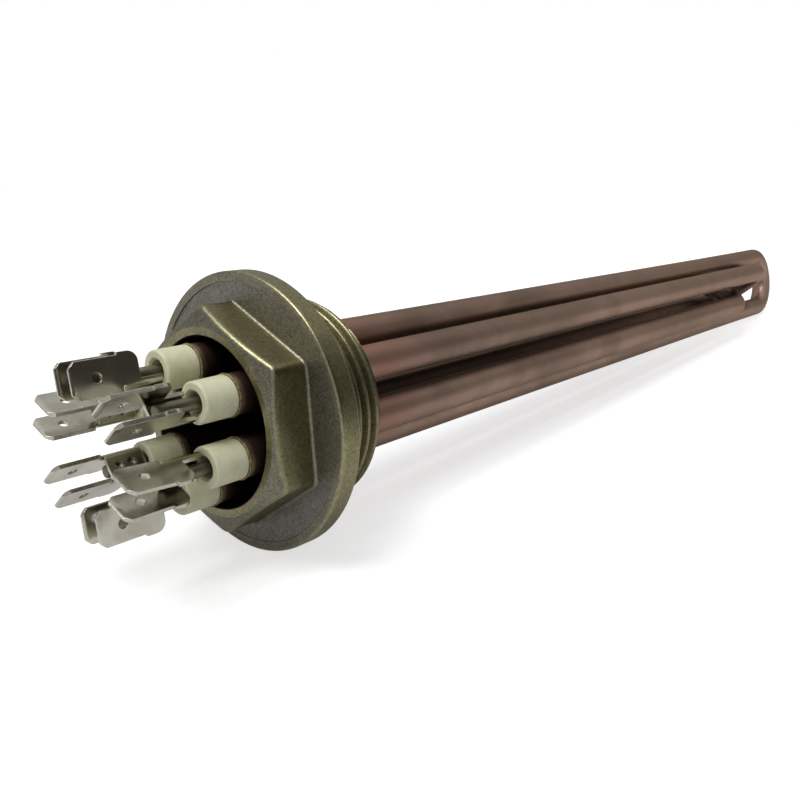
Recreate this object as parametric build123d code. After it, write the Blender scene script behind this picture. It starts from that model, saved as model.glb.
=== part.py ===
# Screw-in immersion heating element of a coffee machine boiler, in millimetres.
# A forged brass head with a hexagon, a flange and a pipe thread carries three copper
# hairpin heaters. Their six ends come out of the hollow head, each closed by a ceramic
# bushing, and each has a pin with a folded double tab terminal welded on it.
#
# Frame: the origin is on the axis in the plane of the sealing face behind the flange.
# +X runs along the tubes into the boiler, +Z is up.

from math import cos, hypot, radians, tan
import os

from build123d import *

# Pipe thread G 1 1/4 on the spigot, drawn at its major diameter
thread_major_radius = 20.955
thread_depth = 1.479
spigot_length = 13.1
spigot_chamfer = 1.1
relief_width = 2.1
relief_extra_depth = 0.1

# Flange
flange_radius = 27.25
flange_thickness = 4.25
flange_edge_fillet = 0.5
rim_width = 1.9
rim_height = 0.35

# Hexagonal head
hex_sides = 6
hex_across_flats = 38.0
hex_height = 7.95
hex_turn = 25.0
hex_corner_radius = 2.1
hex_foot_fillet = 1.0
face_ring_width = 1.6
crown_angle = 18.0
bore_radius = 16.3
end_wall = 5.7

# Copper hairpins: legs on one pitch circle, each hairpin joins two opposite places
hairpin_count = 3
leg_pitch_radius = 11.2
first_leg_angle = 80.7
tube_radius = 3.8
tube_wall = 0.65
tube_standout = 1.6
longest_reach = 308.4
second_step = 29.3
third_step = 26.5
braze_clearance = 0.05
braze_width = 1.1
braze_height = 0.95

# Heater inside the tube
fill_clearance = 0.02
coil_radius = 1.4
cold_length = 38.0

# Seal ring and ceramic bushing at each tube end
seal_thickness = 0.4
seal_overhang = 0.2
bushing_radius = 3.8
bushing_length = 6.7
bushing_edge_fillet = 0.4
plug_length = 2.8
plug_clearance = 0.08
mouth_radius = 2.0
mouth_depth = 3.8

# Terminal pin
pin_radius = 1.2
pin_clearance = 0.08
pin_beyond_bushing = 7.5
pin_end_chamfer = 0.2

# Folded double tab terminal, 6.3 x 0.8 tabs
sheet = 0.8
tab_width = 6.3
tab_spacing = 4.75
tab_hole_radius = 0.85
tab_hole_from_tip = 4.45
tip_chamfer = 1.05
shoulder_from_tip = 8.5
shoulder_height = 0.45
shoulder_length = 3.7
shoulder_corner_radius = 1.9
web_from_tip = 9.0
channel_tail = 4.15
tail_height = 1.9
bend_inner_radius = 0.3
terminal_gap = 0.5
weld_gap = 0.2
weld_radius = 0.8
weld_spacing = 2.45
dimple_depth = 0.3

# Margin for picking edges, and how far a cutting rod overruns the end it cuts
edge_margin = 0.05
cut_overrun = 1.0

# Places along the axis, worked out from the sizes above
flange_face = -flange_thickness
field_face = flange_face + rim_height
head_face = flange_face - hex_height
wall_inner_face = spigot_length - end_wall
tube_end = head_face - tube_standout
seal_face = tube_end - seal_thickness
bushing_face = seal_face - bushing_length
plug_end = tube_end + plug_length
pin_tip = bushing_face - pin_beyond_bushing
pin_root = tube_end + cold_length
terminal_length = shoulder_from_tip + shoulder_length + channel_tail
tab_tip = bushing_face - terminal_gap - terminal_length
weld_middle = bushing_face - terminal_gap - (terminal_length - web_from_tip) / 2

# Radii worked out from the sizes above
tube_inner_radius = tube_radius - tube_wall
relief_radius = thread_major_radius - thread_depth - relief_extra_depth
core_radius = tube_inner_radius - fill_clearance
face_ring_radius = bore_radius + face_ring_width
leg_count = 2 * hairpin_count
leg_angles = [first_leg_angle + 360.0 / leg_count * k for k in range(leg_count)]
second_reach = longest_reach - second_step
reaches = [longest_reach, second_reach, second_reach - third_step]

# Shapes are drawn about local Z and then laid along X: local x, y, z become Y, Z, X.
along_x = Plane(origin=(0, 0, 0), x_dir=(0, 1, 0), z_dir=(1, 0, 0))
upwards = (Align.CENTER, Align.CENTER, Align.MIN)


def rod(radius, start, end):
    """A round rod on the local axis between two heights."""
    return Pos(0, 0, start) * Cylinder(radius, end - start, align=upwards)


def ring(outer, inner, start, end):
    """A round sleeve on the local axis between two heights."""
    return rod(outer, start, end) - rod(inner, start, end)


def at_leg(shape, angle):
    """Moves a shape from the local axis to a leg's place, its x axis pointing outwards."""
    return Rot(0, 0, angle) * Pos(leg_pitch_radius, 0, 0) * shape


def turned(points):
    """Revolves a closed outline of (radius, height) points about the local axis."""
    outline = make_face(Polyline(*[(r, 0, z) for r, z in points], close=True))
    return revolve(outline, Axis.Z, 360)


def make_hex_flange():
    """Head, flange and threaded spigot, one forging with a deep round hollow."""
    spigot = turned(
        [
            (0, 0),
            (relief_radius, 0),
            (relief_radius, relief_width),
            (thread_major_radius, relief_width),
            (thread_major_radius, spigot_length - spigot_chamfer),
            (thread_major_radius - spigot_chamfer, spigot_length),
            (0, spigot_length),
        ]
    )
    disc = rod(flange_radius, flange_face, 0)
    disc = fillet(disc.edges().filter_by(GeomType.CIRCLE), flange_edge_fillet)
    disc -= rod(flange_radius - rim_width, flange_face, field_face)

    corner = hex_across_flats / 2 / cos(radians(180 / hex_sides))
    hexagon = RegularPolygon(corner, hex_sides)
    hexagon = fillet(hexagon.vertices(), hex_corner_radius)
    prism = Rot(0, 0, hex_turn) * extrude(Pos(0, 0, head_face) * hexagon, field_face - head_face)
    crown_drop = (corner - face_ring_radius) * tan(radians(crown_angle))
    prism &= turned(
        [
            (0, head_face),
            (face_ring_radius, head_face),
            (corner, head_face + crown_drop),
            (corner, field_face),
            (0, field_face),
        ]
    )
    head = disc + prism + spigot
    level = head.edges().filter_by_position(Axis.Z, field_face - edge_margin, field_face + edge_margin)
    foot = [e for e in level if (e @ 0.5).X ** 2 + (e @ 0.5).Y ** 2 < (corner + edge_margin) ** 2]
    head = fillet(foot, hex_foot_fillet)
    head -= rod(bore_radius, head_face, wall_inner_face)
    hole = rod(tube_radius + braze_clearance, wall_inner_face, spigot_length)
    for angle in leg_angles:
        head -= at_leg(hole, angle)
    return head


def hairpin_rod(radius, start, reach):
    """A round rod bent into a hairpin: two legs on opposite places and a half circle.

    The bend's middle radius is the pitch radius and its outside ends at reach, both
    measured on the copper tube. The legs lie at plus and minus the local x axis.
    """
    bend_start = reach - tube_radius - leg_pitch_radius
    leg = Pos(leg_pitch_radius, 0, 0) * rod(radius, start, bend_start)
    section = Pos(leg_pitch_radius, 0, bend_start) * Circle(radius)
    pivot = Axis((0, 0, bend_start), (0, -1, 0))
    bend = revolve(section, pivot, 180)
    return leg + bend + mirror(leg, Plane.YZ)


def make_sheath(reach):
    """Copper tube bent into a hairpin, open at both ends."""
    outside = hairpin_rod(tube_radius, tube_end, reach)
    return outside - hairpin_rod(tube_inner_radius, tube_end - cut_overrun, reach)


def make_heating_coil(reach):
    """Envelope of the resistance coil between the inner ends of the two pins."""
    return hairpin_rod(coil_radius, pin_root, reach)


def make_magnesia_core(reach):
    """Pressed magnesia that fills the tube round the pins and the coil."""
    core = hairpin_rod(core_radius, plug_end, reach)
    core -= hairpin_rod(coil_radius + fill_clearance, pin_root, reach)
    channel = Pos(leg_pitch_radius, 0, 0) * rod(pin_radius + fill_clearance, plug_end, pin_root)
    return core - channel - mirror(channel, Plane.YZ)


def make_terminal_pin():
    """Straight pin from inside the tube to the terminal."""
    pin = rod(pin_radius, pin_tip, pin_root)
    return chamfer(pin.edges().filter_by(GeomType.CIRCLE).sort_by(Axis.Z)[0], pin_end_chamfer)


def make_bushing():
    """Ceramic bead with a wide mouth, and a plug that enters the tube."""
    bead = rod(bushing_radius, bushing_face, seal_face)
    bead = fillet(bead.edges().filter_by(GeomType.CIRCLE), bushing_edge_fillet)
    bead += rod(tube_inner_radius - plug_clearance, seal_face, plug_end)
    bead -= rod(mouth_radius, bushing_face, bushing_face + mouth_depth)
    return bead - rod(pin_radius + pin_clearance, bushing_face, plug_end)


def make_end_seal():
    """Thin ring squeezed between the tube's end and the bushing."""
    outer = max(tube_radius, bushing_radius) + seal_overhang
    return ring(outer, tube_inner_radius, seal_face, tube_end)


def make_braze_fillets():
    """Sloping rings of brazing metal where the legs leave the end wall."""
    foot = tube_radius + braze_width
    bead = turned(
        [
            (tube_radius, spigot_length),
            (foot, spigot_length),
            (tube_radius, spigot_length + braze_height),
        ]
    )
    return [at_leg(bead, angle) for angle in leg_angles]


def tab_side_view():
    """Side view of one plate: x runs outwards from the web, y runs from the tip."""
    shoulder_top = tab_width + shoulder_height
    shoulder_end = shoulder_from_tip + shoulder_length
    outline = Polyline(
        (0, tip_chamfer),
        (tip_chamfer, 0),
        (tab_width - tip_chamfer, 0),
        (tab_width, tip_chamfer),
        (tab_width, shoulder_from_tip),
        (shoulder_top, shoulder_from_tip),
        (shoulder_top, shoulder_end),
        (tail_height, shoulder_end),
        (tail_height, terminal_length),
        (0, terminal_length),
        close=True,
    )
    view = make_face(outline)
    outer = [v for v in view.vertices() if hypot(v.X - shoulder_top, v.Y - shoulder_end) < edge_margin]
    view = fillet(outer, shoulder_corner_radius)
    return view - Pos(tab_width / 2, tab_hole_from_tip) * Circle(tab_hole_radius)


def make_tab_terminal():
    """Folded terminal: a web on the pin's inner side and two plates that end in tabs.

    Drawn with the pin on the local axis, x pointing outwards from the heater's axis.
    """
    web_back = -(pin_radius + weld_gap + sheet)
    outer_width = tab_spacing + sheet
    inner_width = tab_spacing - sheet
    height = tab_width + shoulder_height

    side = Plane(origin=(web_back, 0, tab_tip), x_dir=(1, 0, 0), z_dir=(0, -1, 0))
    plates = extrude(side * tab_side_view(), outer_width / 2, both=True)

    # Front part: two flat tabs. Rear part: a channel with rounded folds.
    web_start = tab_tip + web_from_tip
    tab_block = Pos(web_back, 0, tab_tip) * Box(
        height, outer_width, web_from_tip, align=(Align.MIN, Align.CENTER, Align.MIN)
    )
    tab_block -= Pos(web_back, 0, tab_tip) * Box(
        height, inner_width, web_from_tip, align=(Align.MIN, Align.CENTER, Align.MIN)
    )
    fold = bend_inner_radius + sheet
    outer_section = Pos(height, 0) * RectangleRounded(2 * height, outer_width, fold)
    inner_section = Pos(height + sheet, 0) * RectangleRounded(2 * height, inner_width, bend_inner_radius)
    section = Pos(web_back, 0, web_start) * (outer_section - inner_section)
    channel = extrude(section, terminal_length - web_from_tip)
    body = plates & (tab_block + channel)

    for step in (-weld_spacing / 2, weld_spacing / 2):
        place = Pos(web_back, 0, weld_middle + step) * Rot(0, 90, 0)
        dimple = place * Pos(0, 0, dimple_depth - weld_radius) * Sphere(weld_radius)
        nugget = place * Pos(0, 0, sheet) * Cylinder(weld_radius, weld_gap + pin_radius, align=upwards)
        body = body - dimple + nugget
    return body - rod(pin_radius, pin_tip, pin_root)


def write(name, shape):
    """Lays a finished piece along X and writes it to its own file."""
    solids = shape if isinstance(shape, list) else [shape]
    placed = [s for item in solids for s in (along_x * item).solids()]
    result = placed[0] if len(placed) == 1 else Compound(placed)
    result.label = name
    export_step(result, os.path.join("parts", name + ".step"))


def main():
    os.makedirs("parts", exist_ok=True)
    write("hex_flange", make_hex_flange())
    write("braze_fillets", make_braze_fillets())
    for k, reach in enumerate(reaches):
        turn = Rot(0, 0, leg_angles[k])
        write(f"sheath_{k + 1}", turn * make_sheath(reach))
        write(f"magnesia_core_{k + 1}", turn * make_magnesia_core(reach))
        write(f"heating_coil_{k + 1}", turn * make_heating_coil(reach))
    pin = make_terminal_pin()
    bushing = make_bushing()
    seal = make_end_seal()
    terminal = make_tab_terminal()
    for k, angle in enumerate(leg_angles):
        write(f"terminal_pin_{k + 1}", at_leg(pin, angle))
        write(f"ceramic_bushing_{k + 1}", at_leg(bushing, angle))
        write(f"end_seal_{k + 1}", at_leg(seal, angle))
        write(f"tab_terminal_{k + 1}", at_leg(terminal, angle))


main()
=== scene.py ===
"""Builds the visible pieces of a screw-in immersion heating element and its studio.

Metres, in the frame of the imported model: the origin is on the axis in the plane of the flange's
sealing face, +X runs along the tubes into the boiler and +Z is up. Legs are numbered round the
axis, and an angle round the axis is measured from +Y towards +Z.
"""

import math

import bmesh
import bpy
import numpy as np
from bpy.props import FloatProperty, FloatVectorProperty, PointerProperty
from mathutils import Matrix, Vector


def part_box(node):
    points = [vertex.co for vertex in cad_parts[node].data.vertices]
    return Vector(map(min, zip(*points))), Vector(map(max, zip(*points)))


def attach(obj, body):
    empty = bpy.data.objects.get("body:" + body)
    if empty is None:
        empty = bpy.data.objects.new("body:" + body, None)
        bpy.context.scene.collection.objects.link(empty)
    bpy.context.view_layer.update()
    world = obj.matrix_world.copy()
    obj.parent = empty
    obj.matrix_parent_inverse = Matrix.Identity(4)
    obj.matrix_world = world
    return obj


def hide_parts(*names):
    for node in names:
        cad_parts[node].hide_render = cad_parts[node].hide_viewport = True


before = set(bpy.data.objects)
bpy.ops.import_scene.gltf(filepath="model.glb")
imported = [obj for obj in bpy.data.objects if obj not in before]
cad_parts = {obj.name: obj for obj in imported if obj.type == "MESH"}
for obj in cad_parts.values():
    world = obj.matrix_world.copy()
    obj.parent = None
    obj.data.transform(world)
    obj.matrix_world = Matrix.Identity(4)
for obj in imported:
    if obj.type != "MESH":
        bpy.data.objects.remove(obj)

bl_info = {
    "name": "Boiler heating element",
    "version": (1, 0, 0),
    "blender": (4, 5, 0),
    "location": "View3D > Sidebar > Heating element",
    "description": "Builds the visible pieces of a screw-in immersion heating element",
    "category": "Add Mesh",
}

MM = 0.001
FULL_TURN = 2 * np.pi
WELD_DISTANCE = 0.001 * MM

# Places along the axis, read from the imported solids
HEAD_LOW, HEAD_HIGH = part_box("hex_flange")
HEAD_FACE = HEAD_LOW.x
SPIGOT_END = HEAD_HIGH.x
FLANGE_RADIUS = HEAD_HIGH.z
SEAL_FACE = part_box("end_seal_1")[0].x
TUBE_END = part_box("end_seal_1")[1].x
BEAD_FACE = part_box("ceramic_bushing_1")[0].x
PLUG_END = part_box("ceramic_bushing_1")[1].x
PIN_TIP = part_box("terminal_pin_1")[0].x
PIN_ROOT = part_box("terminal_pin_1")[1].x
TAB_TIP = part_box("tab_terminal_1")[0].x
TERMINAL_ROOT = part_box("tab_terminal_1")[1].x
REACHES = [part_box(f"sheath_{k}")[1].x for k in (1, 2, 3)]
LEG_COUNT = 6
# The terminal whose upper tab is bent
BENT_TERMINAL = 3

# How finely round shapes are divided
HEAD_STEPS = 480
THREAD_STATIONS = 75
TUBE_STEPS = 64
TUBE_STATIONS = 61
BEAD_STEPS = 96
PIN_STEPS = 40

# Degrees from which an edge stays sharp
SHARP_ANGLE = 38.0


def length(label, millimetres, note):
    """A length setting whose default is given in millimetres."""
    return FloatProperty(
        name=label,
        description=note,
        default=millimetres * MM,
        precision=5,
        unit="LENGTH",
        subtype="DISTANCE",
    )


def angle(label, degrees, note):
    """An angle setting whose default is given in degrees."""
    return FloatProperty(
        name=label,
        description=note,
        default=math.radians(degrees),
        unit="ROTATION",
        subtype="ANGLE",
    )


def triple(label, values, note, **options):
    """A setting of three numbers."""
    return FloatVectorProperty(name=label, description=note, default=values, size=3, **options)


def colour(label, rgb, note):
    """A linear colour setting."""
    return triple(label, rgb, note, min=0.0, max=1.0, subtype="COLOR")


def factor(label, value, note, top=1.0):
    """A setting without a unit."""
    return FloatProperty(name=label, description=note, default=value, min=0.0, max=top)


class HeadSizes(bpy.types.PropertyGroup):
    """Sizes of the forged head."""

    across_flats: length("Across flats", 38.0, "Hexagon size for a spanner")
    hex_turn: angle("Hexagon turn", 25.0, "Angle of the first corner round the axis")
    corner_radius: length("Corner radius", 2.1, "Rounding of the hexagon's six corners")
    crown_angle: angle("Crown angle", 18.0, "Slope of the cone on the hexagon's top")
    face_ring: length("Face ring", 1.6, "Width of the flat ring round the hollow")
    foot_radius: length("Foot radius", 0.6, "Hollow rounding where hexagon meets flange")
    bore_radius: length("Hollow radius", 16.3, "Radius of the round hollow")
    end_wall: length("End wall", 5.7, "Thickness of the wall that holds the tubes")
    flange_thickness: length("Flange thickness", 4.25, "Thickness of the flange at its rim")
    rim_width: length("Rim width", 1.9, "Width of the raised rim on the flange")
    rim_height: length("Rim height", 0.35, "Height of the raised rim over the flange's field")
    thread_radius: length("Thread radius", 20.955, "Major radius of the pipe thread")
    thread_depth: length("Thread depth", 1.479, "Height of the thread's ridges")
    thread_pitch: length("Thread pitch", 2.309, "Pitch of the pipe thread")
    relief_width: length("Relief width", 2.1, "Width of the groove behind the flange")
    relief_depth: length("Relief depth", 1.579, "Depth of that groove under the thread's ridges")
    spigot_chamfer: length("Spigot chamfer", 1.1, "Chamfer at the thread's free end")
    waviness: length("Waviness", 0.05, "How uneven the forged faces are")
    hole_radius: length("Tube hole radius", 3.85, "Radius of the six holes in the end wall")


class TubeSizes(bpy.types.PropertyGroup):
    """Sizes of the copper tubes and what closes them."""

    pitch_radius: length("Pitch radius", 11.2, "Distance from the axis to each leg")
    first_leg: angle("First leg", 80.7, "Angle of the first leg round the axis")
    radius: length("Tube radius", 3.8, "Outer radius of the copper tube")
    wall: length("Tube wall", 0.65, "Thickness of the copper tube")
    bend_flattening: factor("Bend flattening", 0.025, "How much a bend flattens the tube")
    bow: length("Bow", 0.12, "How far a leg bows sideways")
    drawn_in: length("Drawn together", 0.25, "How far the legs are drawn together")
    braze_width: length("Braze width", 1.1, "Width of the brazing metal round a tube")
    braze_height: length("Braze height", 0.95, "Height of the brazing metal")
    seal_radius: length("Seal radius", 4.0, "Outer radius of the ring at the tube's end")
    bead_radius: length("Bead radius", 3.8, "Outer radius of the ceramic bead")
    mouth_radius: length("Mouth radius", 2.0, "Radius of the bead's open mouth")
    mouth_depth: length("Mouth depth", 3.8, "Depth of the bead's open mouth")
    plug_radius: length("Plug radius", 3.07, "Radius of the bead inside the tube")
    bead_bore: length("Bead bore", 1.28, "Radius of the bead's hole for the pin")
    pin_radius: length("Pin radius", 1.2, "Radius of the terminal pin")


class TerminalSizes(bpy.types.PropertyGroup):
    """Sizes of the folded double tab terminals."""

    sheet: length("Sheet", 0.8, "Thickness of the sheet metal")
    tab_width: length("Tab width", 6.3, "Width of one tab")
    tab_spacing: length("Tab spacing", 4.75, "Distance between the middles of the two tabs")
    tab_hole_radius: length("Tab hole radius", 0.85, "Radius of the hole in a tab")
    tab_hole_place: length("Tab hole place", 4.45, "Distance from the tip to the hole")
    tip_chamfer: length("Tip chamfer", 1.05, "Cut corners at a tab's tip")
    shoulder_place: length("Shoulder place", 8.5, "Distance from the tip to the shoulder")
    shoulder_height: length("Shoulder height", 0.45, "How far the shoulder stands above the tab")
    shoulder_length: length("Shoulder length", 3.7, "Length of the shoulder")
    shoulder_radius: length("Shoulder radius", 1.9, "Rounding of the shoulder's rear corner")
    web_place: length("Web place", 9.0, "Distance from the tip to the web")
    tail_height: length("Tail height", 1.9, "Height of the channel's sides behind the shoulder")
    fold_radius: length("Fold radius", 0.7, "Radius of the folds at the middle of the sheet")
    web_distance: length("Web distance", 2.2, "Distance from the pin's middle to the web's back")
    weld_radius: length("Weld radius", 0.85, "Radius of a weld's dimple")
    weld_spacing: length("Weld spacing", 2.45, "Distance between the two welds")
    weld_depth: length("Weld depth", 0.27, "Depth of a weld's dimple")
    notch: length("Fold notch", 0.2, "Half width of the slit at the end of the folds")
    edge_rounding: length("Edge rounding", 0.09, "Rounding of the cut edges")
    bent_tab: angle("Bent tab", 4.5, "How far the third terminal's upper tab is bent outwards")


class FinishColours(bpy.types.PropertyGroup):
    """Colours of the finishes, linear."""

    brass: colour("Brass", (0.255, 0.234, 0.126), "Dull turned and forged brass")
    brass_dark: colour("Dark brass", (0.120, 0.108, 0.066), "Stained and shaded brass")
    brass_blasted: colour("Blasted brass", (0.215, 0.206, 0.178), "Blasted field of the flange")
    brass_worn: colour("Worn brass", (0.62, 0.58, 0.38), "Brass rubbed bright on edges")
    # Painted shade deep in the hollow and in the relief groove
    brass_hollow_shade: colour("Burnt brass", (0.020, 0.017, 0.013), "Brass deep in the hollow")
    copper: colour("Copper", (0.42, 0.290, 0.225), "Annealed copper with a thin oxide")
    copper_oxide: colour("Copper oxide", (0.225, 0.162, 0.125), "Darker copper oxide")
    copper_pink: colour("Pink copper", (0.38, 0.220, 0.168), "Cleaner copper next to the head")
    # Painted shade on the tubes' inner sides near the head and inside the two shorter bends
    copper_painted_shade: colour("Shaded copper", (0.050, 0.034, 0.027), "Oxide on the inner sides")
    # Painted shade for the tubes inside the hollow
    copper_hollow_shade: colour("Burnt copper", (0.022, 0.013, 0.012), "Copper inside the hollow")
    copper_end: colour("Tube end", (0.36, 0.28, 0.175), "Golden brown rim of the tube ends")
    braze: colour("Braze", (0.46, 0.37, 0.21), "Brazing metal")
    ceramic: colour("Ceramic", (0.80, 0.795, 0.55), "Cream steatite")
    ceramic_stain: colour("Ceramic stain", (0.52, 0.475, 0.30), "Dust and stains on the steatite")
    nickel: colour("Nickel", (0.58, 0.555, 0.475), "Nickel plated sheet")
    nickel_dull: colour("Dull nickel", (0.30, 0.275, 0.195), "Nickel plate tarnished in patches")
    nickel_heat: colour("Heated nickel", (0.27, 0.245, 0.170), "Nickel plate burnt at the welds")
    nickel_cut: colour("Cut nickel", (0.72, 0.69, 0.60), "Bright cut edges of the sheet")
    pin: colour("Pin", (0.20, 0.19, 0.14), "Nickel iron pin")
    seal: colour("Seal", (0.42, 0.31, 0.15), "Golden brown seal ring")
    seal_dark: colour("Dark seal", (0.07, 0.045, 0.03), "Burnt specks on the seal ring")
    magnesia: colour("Magnesia", (0.72, 0.70, 0.66), "Pressed magnesia")
    wire: colour("Wire", (0.26, 0.25, 0.25), "Resistance wire")


class StudioSettings(bpy.types.PropertyGroup):
    """Camera and light."""

    camera_place: triple(
        "Camera place",
        (-0.097513, -0.119607, 0.041793),
        "Where the camera stands",
        precision=5,
        unit="LENGTH",
        subtype="TRANSLATION",
    )
    camera_direction: triple(
        "Camera direction",
        (0.73514, 0.62885, -0.25320),
        "Where the camera looks",
        precision=5,
        subtype="XYZ",
    )
    lens: factor("Lens", 36.32, "Focal length in millimetres on a 36 mm sensor", top=500.0)
    floor_colour: colour("Floor", (0.66, 0.66, 0.67), "Pale floor")
    key_power: factor("Key power", 6.0, "Power of the large lamp above on the left", top=100.0)
    fill_power: factor("Fill power", 0.12, "Power of the lamp on the right", top=100.0)
    world_level: factor("World level", 0.50, "Strength of the surroundings as light", top=10.0)
    card_level: factor("Card level", 0.05, "Brightness of the dark card on the right")
    horizon_level: factor("Horizon level", 0.40, "Brightness of the surroundings at eye height")


class HeatingElement(bpy.types.PropertyGroup):
    """All settings of the heating element."""

    head: PointerProperty(type=HeadSizes)
    tubes: PointerProperty(type=TubeSizes)
    terminals: PointerProperty(type=TerminalSizes)
    colours: PointerProperty(type=FinishColours)
    studio: PointerProperty(type=StudioSettings)


# Grids and meshes


def unit(vectors):
    """Each vector divided by its own length."""
    return vectors / np.linalg.norm(vectors, axis=-1, keepdims=True)


def coordinates(*parts):
    """Points from their coordinates, which are brought to one shape first."""
    return np.stack(np.broadcast_arrays(*parts), axis=-1)


def full_circle(steps):
    """Angles of a full turn, without its end."""
    return np.linspace(0, FULL_TURN, steps, endpoint=False)


def grid_faces(rows, columns, wrap_rows, wrap_columns):
    """Quads between neighbouring rows and columns of a grid, as point numbers."""
    i = np.arange(rows if wrap_rows else rows - 1)[:, None]
    j = np.arange(columns if wrap_columns else columns - 1)[None, :]
    below = (i + 1) % rows
    beside = (j + 1) % columns
    corners = [i * columns + j, below * columns + j, below * columns + beside, i * columns + beside]
    return coordinates(*corners).reshape(-1, 4)


def patch(points, wrap_rows=False, wrap_columns=False, **marks):
    """One grid of points of shape (rows, columns, 3), with marks that go into attributes."""
    return {"points": points, "wrap": (wrap_rows, wrap_columns), "marks": marks}


def add_mark(mesh, mark, patches):
    """Puts one mark of all patches into a point attribute: a number, or a vector for a place."""
    kind, field, depth = "FLOAT", "value", 2
    if mark.endswith("_place"):
        kind, field, depth = "FLOAT_VECTOR", "vector", 3
    values = [
        np.broadcast_to(item["marks"].get(mark, 0.0), item["points"].shape[:depth]).reshape(-1)
        for item in patches
    ]
    mesh.attributes.new(mark, kind, "POINT").data.foreach_set(field, np.concatenate(values))


def weld_seams(mesh):
    """Merges points that coincide and turns the faces outwards."""
    work = bmesh.new()
    work.from_mesh(mesh)
    bmesh.ops.remove_doubles(work, verts=work.verts, dist=WELD_DISTANCE)
    bmesh.ops.dissolve_degenerate(work, edges=work.edges, dist=WELD_DISTANCE)
    bmesh.ops.recalc_face_normals(work, faces=work.faces)
    work.to_mesh(mesh)
    work.free()


def edge_uses(mesh):
    """The two points of each edge, and how many faces meet at it."""
    ends = np.empty(2 * len(mesh.edges), np.int32)
    mesh.edges.foreach_get("vertices", ends)
    used = np.empty(len(mesh.loops), np.int32)
    mesh.loops.foreach_get("edge_index", used)
    return ends.reshape(-1, 2), np.bincount(used, minlength=len(mesh.edges))


def mesh_from_patches(name, patches, closed):
    """Joins grids into one mesh. On an open one, the attribute edge marks the open border."""
    faces = []
    offset = 0
    for item in patches:
        rows, columns = item["points"].shape[:2]
        faces.append(grid_faces(rows, columns, *item["wrap"]) + offset)
        offset += rows * columns
    points = np.concatenate([item["points"].reshape(-1, 3) for item in patches])
    mesh = bpy.data.meshes.new(name)
    mesh.from_pydata(points.tolist(), [], np.concatenate(faces).tolist())
    for mark in sorted({key for item in patches for key in item["marks"]}):
        add_mark(mesh, mark, patches)
    weld_seams(mesh)
    ends, uses = edge_uses(mesh)
    if not closed:
        border = np.zeros(len(mesh.vertices))
        border[ends[uses == 1]] = 1.0
        mesh.attributes.new("edge", "FLOAT", "POINT").data.foreach_set("value", border)
    elif np.any(uses != 2):
        raise RuntimeError(f"{name} has an open seam")
    return mesh


def add_piece(name, patches, material, nodes, sharp=SHARP_ANGLE, closed=True):
    """A finished piece on the body root, which stands for CAD nodes."""
    mesh = mesh_from_patches(name, patches, closed)
    mesh.shade_smooth()
    mesh.set_sharp_from_angle(angle=math.radians(sharp))
    mesh.materials.append(material)
    piece = bpy.data.objects.new(name, mesh)
    bpy.context.scene.collection.objects.link(piece)
    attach(piece, "root")
    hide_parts(*nodes)
    return piece


def rounded_profile(corners, radii, guard=0.25 * MM, steps=5):
    """Rounds the corners of a profile given as (..., corner, 2) points of radius and height.

    At a corner P with unit directions u and v to its neighbours, the arc's middle is P plus the
    direction of u + v times radius / sin(half the angle), and it touches the sides at
    radius / tan(half the angle) from P. A guard point stands before and after each arc, so that
    the shading of the flat sides stays flat. Returns the points and, for each point, a mark that
    is the corner's number on its arc and 0 elsewhere.
    """
    sides = np.diff(corners, axis=-2)
    rooms = np.linalg.norm(sides, axis=-1)
    sides = unit(sides)
    cosines = -np.sum(sides[..., :-1, :] * sides[..., 1:, :], axis=-1)
    halves = np.arccos(np.clip(cosines, -1, 1)) / 2
    reaches = np.zeros(corners.shape[:-1])
    reaches[..., 1:-1] = np.array(radii) / np.tan(halves)
    guards = np.minimum(guard, 0.4 * (rooms - reaches[..., :-1] - reaches[..., 1:]))
    points = [corners[..., 0, :]]
    numbers = [0]
    for k, radius in enumerate(radii, start=1):
        here = corners[..., k, :]
        back = -sides[..., k - 1, :]
        ahead = sides[..., k, :]
        reach = reaches[..., k, None]
        middle = here + unit(back + ahead) * (radius / np.sin(halves[..., k - 1, None]))
        first = (here + back * reach - middle) / radius
        last = (here + ahead * reach - middle) / radius
        points.append(here + back * (reach + guards[..., k - 1, None]))
        numbers.append(0)
        for share in np.linspace(0, 1, steps + 1):
            points.append(middle + radius * unit(first * (1 - share) + last * share))
            numbers.append(k)
        points.append(here + ahead * (reach + guards[..., k, None]))
        numbers.append(0)
    points.append(corners[..., -1, :])
    numbers.append(0)
    return np.stack(points, axis=-2), np.array(numbers)


def round_the_axis(profile, angles):
    """Points (angle, station, 3) from a profile (station, 2) or (angle, station, 2): radius times
    cosine to Y, radius times sine to Z, height to X."""
    radius, height = profile[..., 0], profile[..., 1]
    turn = angles[:, None]
    return coordinates(height, radius * np.cos(turn), radius * np.sin(turn))


def leg_angle(tubes, number):
    """Angle of a leg round the axis. Legs are numbered from 1."""
    return tubes.first_leg + (number - 1) * FULL_TURN / LEG_COUNT


def at_leg(local, tubes, number):
    """Moves points (outwards, sideways, along the axis) from a leg's own axis to its place."""
    turn = leg_angle(tubes, number)
    outwards = local[..., 0] + tubes.pitch_radius
    sideways = local[..., 1]
    across = outwards * np.cos(turn) - sideways * np.sin(turn)
    up = outwards * np.sin(turn) + sideways * np.cos(turn)
    return coordinates(local[..., 2], across, up)


def lathe_at_leg(profile, tubes, number, steps=BEAD_STEPS, **wraps):
    """A patch from a profile (station, 2) or (angle, station, 2) turned round a leg's own axis."""
    turned = round_the_axis(profile, full_circle(steps))
    return patch(at_leg(turned[..., [1, 2, 0]], tubes, number), wrap_rows=True, **wraps)


def ripple(count, seed, *places):
    """A smooth uneven value about -1 to 1: a sum of sines with seeded directions and phases."""
    random = np.random.default_rng(seed)
    total = 0.0
    for _ in range(count):
        directions = random.normal(size=len(places))
        phase = random.uniform(0, FULL_TURN)
        total = total + np.sin(sum(d * c for d, c in zip(directions, places)) + phase)
    return total / count**0.5


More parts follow.
